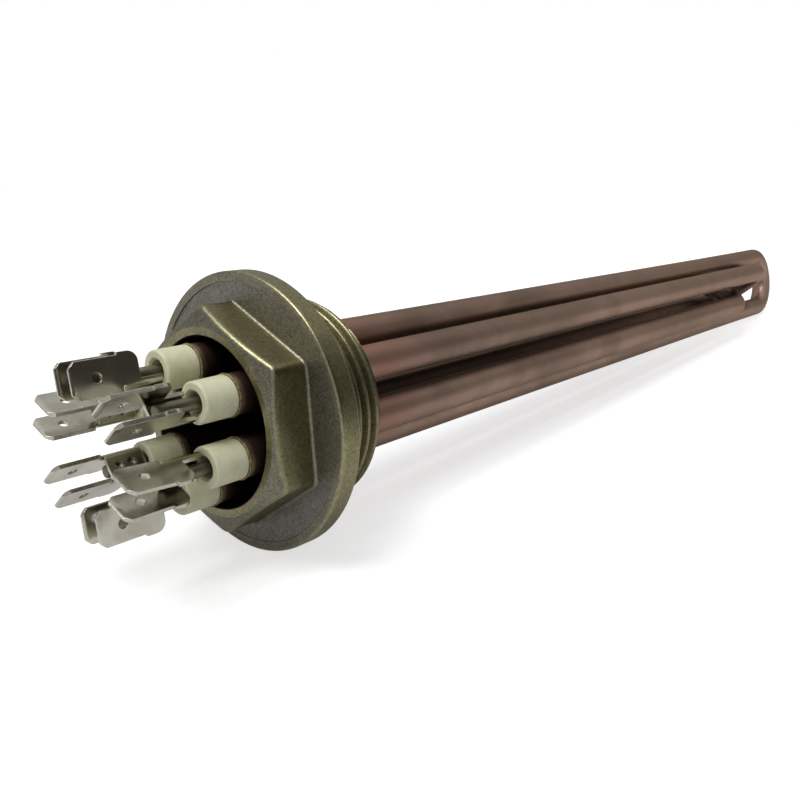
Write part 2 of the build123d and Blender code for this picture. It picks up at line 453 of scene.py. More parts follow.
# Node groups and materials


class NodeTree:
    """Short ways to add and join the shader nodes of one tree."""

    def __init__(self, tree):
        self.tree = tree

    def fill(self, socket, value):
        """Links another socket to this one, or gives it a value. A colour gets its alpha."""
        if isinstance(value, bpy.types.NodeSocket):
            self.tree.links.new(value, socket)
        elif socket.type == "RGBA":
            socket.default_value = (*value, 1.0)
        else:
            socket.default_value = value

    def add(self, kind, inputs=None, **options):
        """Adds a node, sets its options and fills its inputs."""
        node = self.tree.nodes.new("ShaderNode" + kind)
        for name, value in options.items():
            setattr(node, name, value)
        for key, value in (inputs or {}).items():
            self.fill(node.inputs[key], value)
        return node

    def maths(self, operation, first, second, clamp=False):
        """The result of one Math node."""
        node = self.add("Math", {0: first, 1: second}, operation=operation, use_clamp=clamp)
        return node.outputs[0]

    def times(self, first, second):
        """The product of two values."""
        return self.maths("MULTIPLY", first, second)

    def plus(self, first, second, clamp=False):
        """The sum of two values."""
        return self.maths("ADD", first, second, clamp)

    def spread(self, value, low, high, to_low=0.0, to_high=1.0):
        """A value between low and high brought to a new range, held at both ends."""
        inputs = {"Value": value, "From Min": low, "From Max": high}
        inputs |= {"To Min": to_low, "To Max": to_high}
        return self.add("MapRange", inputs).outputs["Result"]

    def graded(self, mask, at_none, at_full):
        """A mask from 0 to 1 brought to a new range."""
        return self.spread(mask, 0.0, 1.0, at_none, at_full)

    def mix(self, share, first, second, blend="MIX"):
        """A mix of two colours."""
        inputs = {0: share, 6: first, 7: second}
        return self.add("Mix", inputs, data_type="RGBA", blend_type=blend).outputs[2]

    def noise(self, vector, scale, detail=3.0, roughness=0.5, distortion=0.0):
        """The value of a Noise texture."""
        inputs = {"Vector": vector, "Scale": scale, "Detail": detail}
        inputs |= {"Roughness": roughness, "Distortion": distortion}
        return self.add("TexNoise", inputs).outputs["Fac"]

    def attribute(self, name, output="Fac"):
        """An attribute of the piece."""
        return self.add("Attribute", attribute_name=name).outputs[output]

    def part(self, vector, axis):
        """One coordinate of a vector."""
        return self.add("SeparateXYZ", {0: vector}).outputs[axis]

    def rays(self):
        """Whether the camera sees a place, and whether a reflection or a refraction does."""
        path = self.add("LightPath").outputs
        mirrored = self.maths("MAXIMUM", path["Is Glossy Ray"], path["Is Transmission Ray"])
        return path["Is Camera Ray"], mirrored

    def group(self, name, vector, **values):
        """The outputs of a node group, built on first use. A value's name is its input's."""
        tree = bpy.data.node_groups.get(name) or GROUP_MAKERS[name](name)
        inputs = {"Vector": vector}
        inputs |= {key.capitalize().replace("_", " "): value for key, value in values.items()}
        return self.add("Group", inputs, node_tree=tree).outputs


def new_group(name, numbers, outputs):
    """An empty node group with a Vector and named numbers as inputs, and named outputs."""
    nodes = NodeTree(bpy.data.node_groups.new(name, "ShaderNodeTree"))
    sockets = nodes.tree.interface
    sockets.new_socket("Vector", in_out="INPUT", socket_type="NodeSocketVector")
    for label, value in numbers.items():
        made = sockets.new_socket(label, in_out="INPUT", socket_type="NodeSocketFloat")
        made.default_value = value
    for label in outputs:
        sockets.new_socket(label, in_out="OUTPUT", socket_type="NodeSocketFloat")
    given = nodes.tree.nodes.new("NodeGroupInput").outputs
    result = nodes.tree.nodes.new("NodeGroupOutput").inputs
    return nodes, given, result


def blasted_grain_group(name):
    """Fine grain of a blasted surface: two noises, one over the other, as height and as mask."""
    nodes, given, result = new_group(name, {"Grains per metre": 3000.0}, ["Height", "Mask"])
    count = given["Grains per metre"]
    fine = nodes.noise(given["Vector"], count, detail=2.0, roughness=0.65)
    coarse = nodes.noise(given["Vector"], nodes.times(count, 0.36), detail=2.0)
    height = nodes.plus(fine, nodes.times(coarse, 0.3))
    nodes.fill(result["Height"], height)
    nodes.fill(result["Mask"], nodes.spread(height, 0.45, 0.85))
    return nodes.tree


def smudge_group(name):
    """Large soft stains: a warped noise brought to a mask."""
    numbers = {"Stains per metre": 60.0, "Low": 0.42, "High": 0.62}
    nodes, given, result = new_group(name, numbers, ["Mask"])
    stains = given["Stains per metre"]
    cloud = nodes.noise(given["Vector"], stains, detail=4.0, roughness=0.6, distortion=0.6)
    nodes.fill(result["Mask"], nodes.spread(cloud, given["Low"], given["High"]))
    return nodes.tree


def edge_wear_group(name):
    """Wear on edges: the piece's own edge attribute broken up by a noise."""
    nodes, given, result = new_group(name, {"Breaks per metre": 900.0}, ["Mask"])
    cloud = nodes.noise(given["Vector"], given["Breaks per metre"])
    broken = nodes.spread(cloud, 0.35, 0.6, 0.35, 1.0)
    nodes.fill(result["Mask"], nodes.times(nodes.attribute("edge"), broken))
    return nodes.tree


def drawn_lines_group(name):
    """Fine drawn lines: a noise stretched along the first axis of the given vector."""
    numbers = {"Lines per metre": 1500.0, "Stretch": 0.03}
    nodes, given, result = new_group(name, numbers, ["Height"])
    parts = nodes.add("SeparateXYZ", {0: given["Vector"]}).outputs
    along = nodes.times(parts["X"], given["Stretch"])
    stretched = nodes.add("CombineXYZ", {"X": along, "Y": parts["Y"], "Z": parts["Z"]})
    count = given["Lines per metre"]
    lines = nodes.noise(stretched.outputs[0], count, detail=4.0, roughness=0.6)
    nodes.fill(result["Height"], lines)
    return nodes.tree


GROUP_MAKERS = {
    "blasted grain": blasted_grain_group,
    "smudges": smudge_group,
    "edge wear": edge_wear_group,
    "drawn lines": drawn_lines_group,
}


class Finish(NodeTree):
    """A new material with its Principled shader, the shader's own values and Object coordinates."""

    def __init__(self, name, values):
        self.material = bpy.data.materials.new(name)
        self.material.use_nodes = True
        super().__init__(self.material.node_tree)
        self.shader = self.tree.nodes["Principled BSDF"].inputs
        self.place = self.add("TexCoord").outputs["Object"]
        for key, value in values.items():
            self.fill(self.shader[key], value)

    def done(self, base, roughness, height, strength, depth):
        """Joins colour, roughness and bump to the shader."""
        bump = self.add("Bump", {"Strength": strength, "Distance": depth, "Height": height})
        self.fill(self.shader["Base Color"], base)
        self.fill(self.shader["Roughness"], roughness)
        self.fill(self.shader["Normal"], bump.outputs["Normal"])
        return self.material


METAL = {"Metallic": 1.0}


def forged_brass(colours):
    """Dull brass with stains: blasted on the field, smoother elsewhere, with painted shade in its
    hollows.
    """
    nodes = Finish("forged brass", METAL)
    grain = nodes.group("blasted grain", nodes.place, grains_per_metre=3000.0)
    stains = nodes.group("smudges", nodes.place, stains_per_metre=95.0, high=0.75)["Mask"]
    wear = nodes.group("edge wear", nodes.place, breaks_per_metre=1100.0)["Mask"]
    blasted = nodes.attribute("blasted")
    base = nodes.mix(blasted, colours.brass, colours.brass_blasted)
    base = nodes.mix(nodes.times(nodes.attribute("cut"), 0.4), base, colours.brass_dark)
    base = nodes.mix(nodes.times(stains, 0.22), base, colours.brass_dark)
    contrast = nodes.graded(blasted, 0.36, 0.42)
    speckle = nodes.times(nodes.graded(grain["Mask"], -1.0, 1.0), contrast)
    base = nodes.mix(1.0, base, nodes.plus(speckle, 1.0), "MULTIPLY")
    # Painted shade: the hollow mark darkens the hollow and the relief groove towards near black
    base = nodes.mix(nodes.times(nodes.attribute("hollow"), 0.8), base, colours.brass_hollow_shade)
    base = nodes.mix(wear, base, colours.brass_worn)
    dull = nodes.plus(nodes.graded(stains, 0.34, 0.44), nodes.times(blasted, 0.08))
    roughness = nodes.maths("SUBTRACT", dull, nodes.times(wear, 0.10))
    height = nodes.times(grain["Height"], nodes.graded(blasted, 0.7, 1.0))
    return nodes.done(base, roughness, height, strength=0.55, depth=0.08 * MM)


def annealed_copper(colours):
    """Brown oxidised copper with streaks along the tube and clouds that thin out along it.

    It is cleaner and pinker next to the head, has painted shade on the tubes' inner sides near the
    head and on the inner sides of the two shorter bends, is painted near black as shade inside the
    hollow, and is golden at its rim.
    """
    nodes = Finish("annealed copper", METAL | {"Specular Tint": (0.60, 0.56, 0.52)})
    tube = nodes.attribute("tube_place", "Vector")
    lines = nodes.group("drawn lines", tube, lines_per_metre=900.0, stretch=0.02)["Height"]
    clouds = nodes.group("smudges", nodes.place, stains_per_metre=34.0, low=0.40, high=0.66)
    grain = nodes.group("blasted grain", tube, grains_per_metre=1500.0)
    along = nodes.part(nodes.place, "X")

    streaks = nodes.times(nodes.spread(lines, 0.38, 0.64), 0.08)
    share = nodes.plus(nodes.times(clouds["Mask"], 0.70), streaks, clamp=True)
    share = nodes.times(share, nodes.spread(along, 0.08, 0.26, 1.0, 0.35))
    base = nodes.mix(share, colours.copper, colours.copper_oxide)

    wandering = nodes.plus(along, nodes.times(nodes.noise(nodes.place, 60.0), -30.0 * MM))
    clean = nodes.spread(wandering, SPIGOT_END - 6.0 * MM, SPIGOT_END + 10.0 * MM, 0.9, 0.0)
    base = nodes.mix(clean, base, colours.copper_pink)

    # Painted shade: the inner sides darken near the head, where the gaps between the legs lie in
    # shade, and at the two shorter bends
    middle_bend, short_bend = REACHES[1:]
    bends = nodes.spread(along, short_bend - 30.0 * MM, short_bend - 10.0 * MM, 0.0, 0.9)
    bends = nodes.times(bends, nodes.spread(along, middle_bend - 7.0 * MM, middle_bend, 1.0, 0.0))
    shaded = nodes.maths("MAXIMUM", nodes.spread(along, 0.09, 0.21, 1.0, 0.1), bends)
    inner_side = nodes.spread(nodes.part(tube, "Y"), -3.3 * MM, -0.6 * MM, 0.85, 0.0)
    base = nodes.mix(nodes.times(inner_side, shaded), base, colours.copper_painted_shade)

    # Painted shade: the tubes turn near black inside the hollow, a few millimetres behind their rim
    deep = nodes.spread(along, TUBE_END + 0.6 * MM, TUBE_END + 3.8 * MM, 0.60, 0.92)
    deep = nodes.times(deep, nodes.maths("LESS_THAN", along, SPIGOT_END - MM))
    base = nodes.mix(deep, base, colours.copper_hollow_shade)
    rim = nodes.spread(along, TUBE_END + 0.4 * MM, TUBE_END + 1.1 * MM, 0.9, 0.0)
    base = nodes.mix(rim, base, colours.copper_end)
    roughness = nodes.plus(nodes.graded(share, 0.42, 0.50), nodes.times(clean, 0.08))
    height = nodes.plus(lines, nodes.times(grain["Height"], 0.4))
    return nodes.done(base, roughness, height, strength=0.12, depth=0.04 * MM)


def brazing_metal(colours):
    """Yellowish brazing metal, smooth where it flowed."""
    nodes = Finish("brazing metal", METAL)
    stains = nodes.group("smudges", nodes.place, stains_per_metre=320.0)["Mask"]
    grain = nodes.group("blasted grain", nodes.place, grains_per_metre=1400.0)["Height"]
    base = nodes.mix(stains, colours.braze, colours.copper_oxide)
    roughness = nodes.graded(stains, 0.28, 0.55)
    return nodes.done(base, roughness, grain, strength=0.3, depth=0.05 * MM)


def cream_ceramic(colours):
    """Cream steatite, dry and slightly dusty, darker in its pores."""
    nodes = Finish("cream ceramic", {})
    stains = nodes.group("smudges", nodes.place, stains_per_metre=260.0, low=0.45, high=0.75)
    grain = nodes.group("blasted grain", nodes.place, grains_per_metre=2200.0)
    pores = nodes.spread(grain["Mask"], 0.75, 1.0, 0.0, 0.25)
    share = nodes.plus(nodes.times(stains["Mask"], 0.45), pores, clamp=True)
    base = nodes.mix(share, colours.ceramic, colours.ceramic_stain)
    roughness = nodes.graded(stains["Mask"], 0.42, 0.60)
    return nodes.done(base, roughness, grain["Height"], strength=0.25, depth=0.04 * MM)


def nickel_plate(colours):
    """Nickel plated sheet, smooth, with dull patches, bright cut edges and burnt welds."""
    nodes = Finish("nickel plate", METAL)
    place = nodes.place
    stains = nodes.group("smudges", place, stains_per_metre=130.0, low=0.36, high=0.80)["Mask"]
    lines = nodes.group("drawn lines", place, lines_per_metre=3200.0, stretch=0.05)["Height"]
    wear = nodes.group("edge wear", place, breaks_per_metre=1500.0)["Mask"]
    grain = nodes.group("blasted grain", place, grains_per_metre=900.0)
    heat = nodes.attribute("heat")
    base = nodes.mix(nodes.times(stains, 0.7), colours.nickel, colours.nickel_dull)
    burnt = nodes.times(heat, nodes.spread(grain["Mask"], 0.1, 0.9, 0.35, 1.0))
    base = nodes.mix(burnt, base, colours.nickel_heat)
    base = nodes.mix(nodes.spread(wear, 0.35, 1.0, 0.0, 0.6), base, colours.nickel_cut)
    roughness = nodes.plus(nodes.graded(stains, 0.15, 0.32), nodes.times(heat, 0.12))
    height = nodes.plus(lines, nodes.times(heat, grain["Height"]))
    return nodes.done(base, roughness, height, strength=0.14, depth=0.02 * MM)


def drawn_pin(colours):
    """Grey nickel iron wire with drawing lines."""
    nodes = Finish("drawn pin", METAL)
    lines = nodes.group("drawn lines", nodes.place, lines_per_metre=2600.0, stretch=0.03)["Height"]
    stains = nodes.group("smudges", nodes.place, stains_per_metre=300.0)["Mask"]
    base = nodes.mix(stains, colours.pin, colours.nickel_heat)
    roughness = nodes.spread(lines, 0.35, 0.65, 0.38, 0.56)
    return nodes.done(base, roughness, lines, strength=0.25, depth=0.03 * MM)


def brown_seal(colours):
    """Golden brown seal ring, dull, with burnt specks."""
    nodes = Finish("brown seal", {})
    grain = nodes.group("blasted grain", nodes.place, grains_per_metre=1800.0)
    base = nodes.mix(grain["Mask"], colours.seal, colours.seal_dark)
    roughness = nodes.graded(grain["Mask"], 0.45, 0.65)
    return nodes.done(base, roughness, grain["Height"], strength=0.4, depth=0.06 * MM)


def inner_material(name, tint, metallic, grains):
    """Finish of a piece that is hidden inside the tubes: speckled and rough."""
    nodes = Finish(name, {"Metallic": metallic})
    grain = nodes.group("blasted grain", nodes.place, grains_per_metre=grains)
    base = nodes.mix(nodes.times(grain["Mask"], 0.5), tint, [0.7 * level for level in tint])
    roughness = nodes.graded(grain["Mask"], 0.6, 0.8)
    return nodes.done(base, roughness, grain["Height"], strength=0.4, depth=0.05 * MM)


# Shapes

# Height of the full triangle of a thread with 55 degree flanks, in pitches
SHARP_THREAD_HEIGHT = 0.9605
# Rise of the first ridge out of the relief groove, over its run
THREAD_START_SLOPE = 1.4


def hexagon_radius(head, angles):
    """Radius of a hexagon with rounded corners at an angle round the axis.

    With d the angle from the nearest corner: on a corner, middle * cos d + root(rounding squared
    minus (middle * sin d) squared); on a flat, half the size across flats over cos(30 deg - d).
    """
    sixth = FULL_TURN / 6
    aside = np.abs((angles - head.hex_turn + sixth / 2) % sixth - sixth / 2)
    half_flats = head.across_flats / 2
    rounding = head.corner_radius
    middle = (half_flats - rounding) / np.cos(sixth / 2)
    end_of_arc = np.arctan2(rounding * np.sin(sixth / 2), middle + rounding * np.cos(sixth / 2))
    below_root = np.maximum(rounding**2 - (middle * np.sin(aside)) ** 2, 0)
    on_corner = middle * np.cos(aside) + np.sqrt(below_root)
    on_flat = half_flats / np.cos(sixth / 2 - aside)
    return np.where(aside < end_of_arc, on_corner, on_flat), aside, end_of_arc


def thread_profile(head, angles, stations):
    """Radius of a right-hand pipe thread at each angle and station.

    The ridge is a triangle wave of the height along the axis minus the turn times the pitch,
    rounded at crest and root by u / (1 + |u|^6)^(1/6), and held under a slope that starts at the
    relief groove and one that ends at the chamfer.
    """
    pitch = head.thread_pitch
    phase = (stations[None, :] / pitch - angles[:, None] / FULL_TURN) % 1.0
    wave = 0.5 - np.abs(2 * phase - 1)
    sharp_height = SHARP_THREAD_HEIGHT * pitch
    level = wave * sharp_height / (head.thread_depth / 2)
    rounded = level / (1 + np.abs(level) ** 6) ** (1 / 6)
    radius = head.thread_radius - head.thread_depth / 2 * (1 - rounded)
    relief_radius = head.thread_radius - head.relief_depth
    start_slope = relief_radius + THREAD_START_SLOPE * (stations - head.relief_width)
    end_slope = head.thread_radius - head.spigot_chamfer + (SPIGOT_END - stations)
    return np.minimum(radius, np.minimum(start_slope, end_slope)[None, :])


class HeadSkin:
    """The head's whole skin: turned outside, hollow, and the end wall with its six holes."""

    # Places of some corners in the outline's list
    HOLLOW_FOOT, MOUTH, FACE_RING, CROWN_EDGE, HEX_FOOT = range(1, 6)

    def __init__(self, head, tubes):
        self.head = head
        self.tubes = tubes
        self.angles = tubes.first_leg - FULL_TURN / LEG_COUNT / 2 + full_circle(HEAD_STEPS)
        self.hexagon, self.aside, self.end_of_arc = hexagon_radius(head, self.angles)
        self.wall_face = SPIGOT_END - head.end_wall
        self.flange_face = -head.flange_thickness
        self.field = self.flange_face + head.rim_height
        self.ring_radius = head.bore_radius + head.face_ring
        self.rim_inner = FLANGE_RADIUS - head.rim_width
        self.relief_radius = head.thread_radius - head.relief_depth
        self.floor_radius = head.bore_radius - 0.8 * MM
        crown_width = self.hexagon - self.ring_radius
        self.crown_edge = HEAD_FACE + crown_width * np.tan(head.crown_angle)

    def outline(self):
        """Corners from the hollow's floor round the outside to the thread: radius, height,
        rounding and wear. A radius or height is one value or one for each angle."""
        head = self.head
        return [
            (self.floor_radius, self.wall_face, 0, 0),
            (head.bore_radius, self.wall_face, 0.5 * MM, 0),
            (head.bore_radius, HEAD_FACE, 0.3 * MM, 0.12),
            (self.ring_radius, HEAD_FACE, 0.35 * MM, 0.12),
            (self.hexagon, self.crown_edge, 0.85 * MM, 0.12),
            (self.hexagon, self.field, head.foot_radius, 0),
            (self.rim_inner, self.field, 0.12 * MM, 0),
            (self.rim_inner, self.flange_face, 0.14 * MM, 0),
            (FLANGE_RADIUS, self.flange_face, 0.5 * MM, 0.2),
            (FLANGE_RADIUS, 0, 0.3 * MM, 0.12),
            (self.relief_radius, 0, 0.15 * MM, 0),
            (self.relief_radius, head.relief_width, 0, 0),
        ]

    def profile(self):
        """Points (angle, station, 2) of the rounded outline, and the corner's number of each.

        The hollow's wall, the hexagon's flats and the field get points between their ends. Then
        the forged faces sink by the waviness times a ripple's size.
        """
        radii, heights, roundings, _ = zip(*self.outline())
        pairs = [coordinates(r + 0 * self.hexagon, h) for r, h in zip(radii, heights)]
        points, numbers = rounded_profile(np.stack(pairs, axis=-2), roundings[1:-1])
        shares = np.linspace(0, 1, 6)[1:-1, None]
        for corner in (self.HEX_FOOT, self.CROWN_EDGE, self.HOLLOW_FOOT):
            gap = np.flatnonzero(numbers == corner)[-1] + 1
            between = points[:, gap, None] * (1 - shares) + points[:, gap + 1, None] * shares
            points = np.concatenate([points[:, : gap + 1], between, points[:, gap + 1 :]], axis=1)
            numbers = np.insert(numbers, gap + 1, [0] * len(shares))
        radius, height = points[..., 0], points[..., 1]
        forged = (radius > self.ring_radius) & (radius < self.rim_inner - 0.1 * MM)
        forged &= height < -0.2 * MM
        across, up = np.cos(self.angles)[:, None], np.sin(self.angles)[:, None]
        uneven = ripple(7, 3, 3.0 * across, 3.0 * up, height / (3.0 * MM))
        sunk = np.abs(uneven * self.head.waviness * forged)
        return coordinates(radius - sunk, height), numbers

    def marks(self, radius, height, numbers):
        """Worn edges, painted shade in the hollow and the relief groove, cut and blasted faces at
        each point, as shares of one.
        """
        head = self.head
        on_thread = (height > head.relief_width) & (radius < FLANGE_RADIUS - MM)
        edge = np.array([corner[3] for corner in self.outline()])[numbers]
        on_side = (height < self.field - head.foot_radius) & (height > HEAD_FACE + 0.8 * MM)
        on_side &= np.abs(radius - self.hexagon[:, None]) < 0.3 * MM
        corner_line = np.exp(-((self.aside / (0.7 * self.end_of_arc)) ** 2))[:, None]
        edge = np.maximum(edge, on_side * corner_line * 0.12)
        crest = (radius - head.thread_radius) / head.thread_depth + 1
        edge = np.maximum(edge, on_thread * 0.14 * np.clip(crest, 0, 1) ** 3)

        facing = (height < self.crown_edge[:, None]) & (height > HEAD_FACE)
        facing |= np.isin(numbers, (self.MOUTH, self.FACE_RING))
        facing |= np.abs(height - self.flange_face) < 0.05 * MM
        facing &= radius > head.bore_radius + 0.1 * MM
        on_foot = (height > self.field - 0.7 * head.foot_radius) & (height < self.field)
        on_foot &= radius < self.rim_inner - head.rim_width
        on_field = np.abs(height - self.field) < 0.12 * MM
        on_field &= radius < self.rim_inner + 0.02 * MM
        blasted = np.maximum.reduce([on_field * 1.0, on_foot * 0.3, facing * 0.7])

        # Painted shade: darker with depth in the hollow, half as dark in the relief groove
        in_bore = (radius < head.bore_radius + 0.05 * MM) & (height < SPIGOT_END - 2 * MM)
        deep = np.clip((height - HEAD_FACE) / (6 * MM), 0, 1)
        half_relief = head.relief_width / 2
        in_relief = (np.abs(height - half_relief) < half_relief) & (radius < head.thread_radius)
        hollow = np.maximum(in_bore * deep, in_relief * 0.5)
        return {"edge": edge, "hollow": hollow, "cut": on_thread * 1.0, "blasted": blasted}

    def end_wall(self, spigot_radius):
        """Both faces of the end wall in six sectors, and the holes at their middles.

        Points on a hole's rim are blended with points on the sector's border, which is an arc
        with its way to the axis and back.
        """
        per_sector = HEAD_STEPS // LEG_COUNT
        shares = np.linspace(0, 1, 13)[1:, None]
        made = []
        for number in range(1, LEG_COUNT + 1):
            picked = np.arange((number - 1) * per_sector, number * per_sector + 1) % HEAD_STEPS
            arc = coordinates(np.cos(self.angles[picked]), np.sin(self.angles[picked]))
            borders = []
            for radius in (self.floor_radius, spigot_radius[picked, None]):
                curve = arc * radius
                ways = [curve, curve[-1] * (1 - shares), curve[0] * shares[:-1]]
                borders.append(np.concatenate(ways))
            turn = leg_angle(self.tubes, number)
            middle = self.tubes.pitch_radius * np.array([np.cos(turn), np.sin(turn)])
            hole = middle + self.head.hole_radius * unit(borders[0] - middle)
            # The wall's face inside the hollow and the holes' walls get full painted shade
            for border, height, dark in zip(borders, (self.wall_face, SPIGOT_END), (1.0, 0.0)):
                flat = np.stack([hole * (1 - t) + border * t for t in (0.0, 0.06, 0.5, 1.0)])
                points = coordinates(height, flat[..., 0], flat[..., 1])
                made.append(patch(points, wrap_columns=True, hollow=dark))
            ends = np.array([[self.wall_face], [SPIGOT_END]])
            points = coordinates(ends, hole[:, 0], hole[:, 1])
            made.append(patch(points, wrap_columns=True, hollow=1.0))
        return made

    def patches(self):
        """The turned skin with its thread, and the end wall."""
        profile, numbers = self.profile()
        stations = np.linspace(self.head.relief_width, SPIGOT_END, THREAD_STATIONS)[1:]
        thread = coordinates(thread_profile(self.head, self.angles, stations), stations)
        outer = np.concatenate([profile, thread], axis=1)
        numbers = np.concatenate([numbers, np.zeros(len(stations), int)])
        marks = self.marks(outer[..., 0], outer[..., 1], numbers)
        skin = patch(round_the_axis(outer, self.angles), wrap_rows=True, **marks)
        return [skin] + self.end_wall(outer[:, -1, 0])


def hairpin_patches(tubes, number, reach):
    """A copper hairpin: a tube's section carried along two legs and the half circle between.

    The middle line is (outwards, along): straight at plus the pitch radius, then a half circle
    of that radius, then straight at minus the pitch radius. The section is a circle, flattened
    across the bend by the root of the bend's own sine. The legs bow very slightly and are drawn
    together by one minus the fourth power of the distance from their middle.
    """
    bend_radius = tubes.pitch_radius
    bend_start = reach - tubes.radius - bend_radius
    leg_length = bend_start - TUBE_END
    leg = np.linspace(-leg_length, 0, TUBE_STATIONS)[:-1]
    bend = np.linspace(0, np.pi, TUBE_STATIONS)
    straight = np.concatenate([leg, 0 * bend, -leg[::-1]])[:, None]
    turned = np.concatenate([0 * leg, bend, 0 * leg + np.pi])[:, None]
    outwards = bend_radius * np.cos(turned)
    along = bend_start - np.abs(straight) + bend_radius * np.sin(turned)
    walked = leg_length + straight + bend_radius * turned
    share = np.clip((along - TUBE_END) / leg_length, 0, 1)
    bow = tubes.bow * np.sin(np.pi * share) ** 2 * ripple(3, 20 + number, 5.0 * share)
    outwards = outwards - tubes.drawn_in * (1 - (2 * share - 1) ** 4) * np.sign(outwards)
    flattening = tubes.bend_flattening * np.sin(turned) ** 0.5

    around = full_circle(TUBE_STEPS)
    turn = leg_angle(tubes, number)
    points = []
    places = []
    for radius, order in ((tubes.radius, 1), (tubes.radius - tubes.wall, -1)):
        outer_part = radius * (1 - flattening) * np.cos(around)
        side = radius * np.sin(around) + bow
        out = outwards + outer_part * np.cos(turned)
        across = out * np.cos(turn) - side * np.sin(turn)
        up = out * np.sin(turn) + side * np.cos(turn)
        points.append(coordinates(along + outer_part * np.sin(turned), across, up)[::order])
        place = coordinates(walked, radius * np.cos(around), radius * np.sin(around))
        places.append(place[::order])
    place = np.concatenate(places)
    return [patch(np.concatenate(points), wrap_rows=True, wrap_columns=True, tube_place=place)]


def braze_patch(tubes, number):
    """A ring of brazing metal: a hollow quarter circle turned round the leg, stretched by the
    ring's width and height, which a ripple makes uneven."""
    angles = full_circle(BEAD_STEPS)
    uneven = 1 + 0.16 * ripple(3, 40 + number, 1.5 * np.cos(angles), 1.5 * np.sin(angles))
    width = tubes.braze_width * np.clip(uneven, 0.6, 1.0)[:, None]
    height = tubes.braze_height * np.clip(uneven[::-1], 0.6, 1.0)[:, None]
    quarter = np.linspace(0, np.pi / 2, 9)
    radius = tubes.radius + width * (1 - np.sin(quarter))
    curve = coordinates(radius, SPIGOT_END + height * (1 - np.cos(quarter)))
    inner = np.broadcast_to([tubes.radius, SPIGOT_END], (BEAD_STEPS, 1, 2))
    profile = np.concatenate([curve, inner], axis=1)
    return lathe_at_leg(profile, tubes, number, wrap_columns=True)


def bead_patch(tubes, number):
    """A ceramic bead turned round its leg, slightly uneven, with small chips on its front edge.

    Points on the outside sink by the size of a ripple. A chip moves the front edge back by its
    depth times a bell curve of the angle.
    """
    mouth_floor = BEAD_FACE + tubes.mouth_depth
    middle = (mouth_floor + PLUG_END) / 2
    corners = [
        (tubes.bead_bore, middle),
        (tubes.bead_bore, mouth_floor),
        (tubes.mouth_radius - 0.1 * MM, mouth_floor),
        (tubes.mouth_radius, BEAD_FACE + 0.45 * MM),
        (tubes.mouth_radius + 0.4 * MM, BEAD_FACE),
        (tubes.bead_radius, BEAD_FACE),
        (tubes.bead_radius, SEAL_FACE),
        (tubes.plug_radius, SEAL_FACE),
        (tubes.plug_radius, PLUG_END),
        (tubes.bead_bore, PLUG_END),
        (tubes.bead_bore, middle),
    ]
    # Numbers of the corners at both edges of the front face and at the outside's rear edge
    mouth_edge, front_edge, rear_edge = 4, 5, 6
    radii = [r * MM for r in (0.15, 0.2, 0.2, 0.2, 0.4, 0.35, 0.1, 0.2, 0.1)]
    profile, numbers = rounded_profile(np.array(corners), radii)
    radius, height = profile[:, 0], profile[:, 1]
    angles = full_circle(BEAD_STEPS)[:, None]
    heights = height / (2 * MM)
    uneven = ripple(4, 60 + number, 2.0 * np.cos(angles), 2.0 * np.sin(angles), heights)
    outside = np.isin(numbers, (front_edge, rear_edge))
    outside |= radius > tubes.bead_radius - 0.01 * MM
    radius = radius - 0.03 * MM * np.abs(uneven) * outside
    random = np.random.default_rng(80 + number)
    for _ in range(5):
        place = random.uniform(0, FULL_TURN)
        width = random.uniform(0.05, 0.13)
        depth = random.uniform(0.05, 0.16) * MM
        on_edge = numbers == random.choice((mouth_edge, front_edge))
        away = (angles - place + np.pi) % FULL_TURN - np.pi
        height = height + depth * np.exp(-((away / width) ** 2)) * on_edge
    return lathe_at_leg(coordinates(radius, height), tubes, number)


def seal_patch(tubes, number):
    """The thin ring between tube and bead. Its rim sinks by the size of a ripple of the angle."""
    middle = (SEAL_FACE + TUBE_END) / 2
    inner = tubes.radius - tubes.wall
    corners = [
        (inner, middle),
        (inner, SEAL_FACE),
        (tubes.seal_radius, SEAL_FACE),
        (tubes.seal_radius, TUBE_END),
        (inner, TUBE_END),
        (inner, middle),
    ]
    radii = [r * MM for r in (0.05, 0.15, 0.15, 0.05)]
    profile, numbers = rounded_profile(np.array(corners), radii)
    angles = full_circle(BEAD_STEPS)[:, None]
    uneven = np.abs(ripple(4, 100 + number, 2.5 * np.cos(angles), 2.5 * np.sin(angles)))
    on_rim = np.isin(numbers, (2, 3))
    radius = profile[:, 0] - 0.09 * MM * uneven * on_rim
    return lathe_at_leg(coordinates(radius, profile[:, 1]), tubes, number)


def pin_patch(tubes, number):
    """A terminal pin: a rod's outline with rounded ends, turned round the leg's own axis."""
    radius = tubes.pin_radius
    corners = np.array([(0, PIN_TIP), (radius, PIN_TIP), (radius, PIN_ROOT), (0, PIN_ROOT)])
    profile, _ = rounded_profile(corners, [0.25 * MM, 0.25 * MM])
    return lathe_at_leg(profile, tubes, number, PIN_STEPS)


